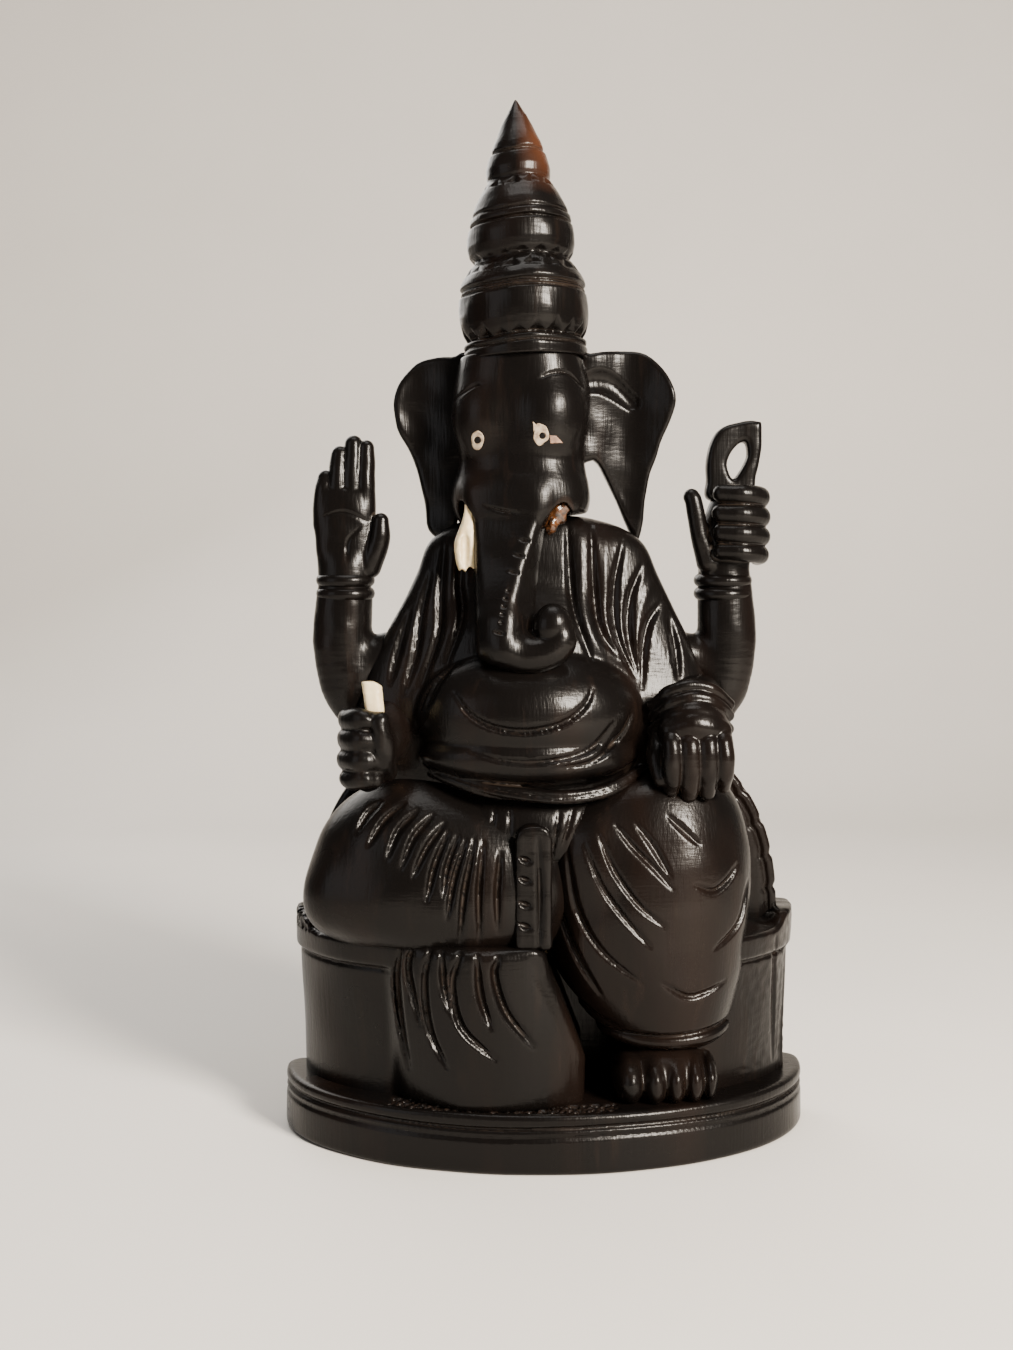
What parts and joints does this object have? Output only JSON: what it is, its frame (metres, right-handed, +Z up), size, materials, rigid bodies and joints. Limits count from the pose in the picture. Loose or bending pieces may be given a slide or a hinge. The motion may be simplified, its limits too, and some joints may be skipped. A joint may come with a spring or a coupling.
{
  "type": "ganesha idol",
  "caption": "Seated elephant-headed deity figure carved in dark hardwood on a half-oval plinth, with bone eyes and tusks.",
  "frame": {"origin": "middle of the plinth's underside", "axes": "+Z up along the figure's height, -Y out of the figure's front, +X to the viewer's right"},
  "size_m": [0.131, 0.048, 0.249],
  "materials": {
    "ebony": "hand-polished satin, near black with brown streaks",
    "dowel_wood": "plain turned hardwood",
    "bone": "smooth cream bone",
    "amber_glue": "glossy dried glue"
  },
  "bodies": {
    "root": {"plinth": "ebony", "seat_block": "ebony", "back_slab": "ebony", "folded_leg": "ebony", "hanging_leg": "ebony", "left_foot": "ebony", "robe_sash": "ebony", "torso": "ebony", "head_and_trunk": "ebony", "crown": "ebony", "right_ear": "ebony", "left_ear": "ebony", "open_hand_arm": "ebony", "noose_arm": "ebony", "noose_loop": "ebony", "tusk_holding_arm": "ebony", "lower_left_arm": "ebony", "right_pupil": "ebony", "left_pupil": "ebony", "body_dowels": "dowel_wood", "crown_dowel": "dowel_wood", "arm_dowels": "dowel_wood", "pins": "dowel_wood", "mouth_tusk": "bone", "held_tusk": "bone", "right_eye_ring": "bone", "left_eye_ring": "bone", "left_eye_corner": "bone", "old_glue": "amber_glue"}
  },
  "joints": []
}
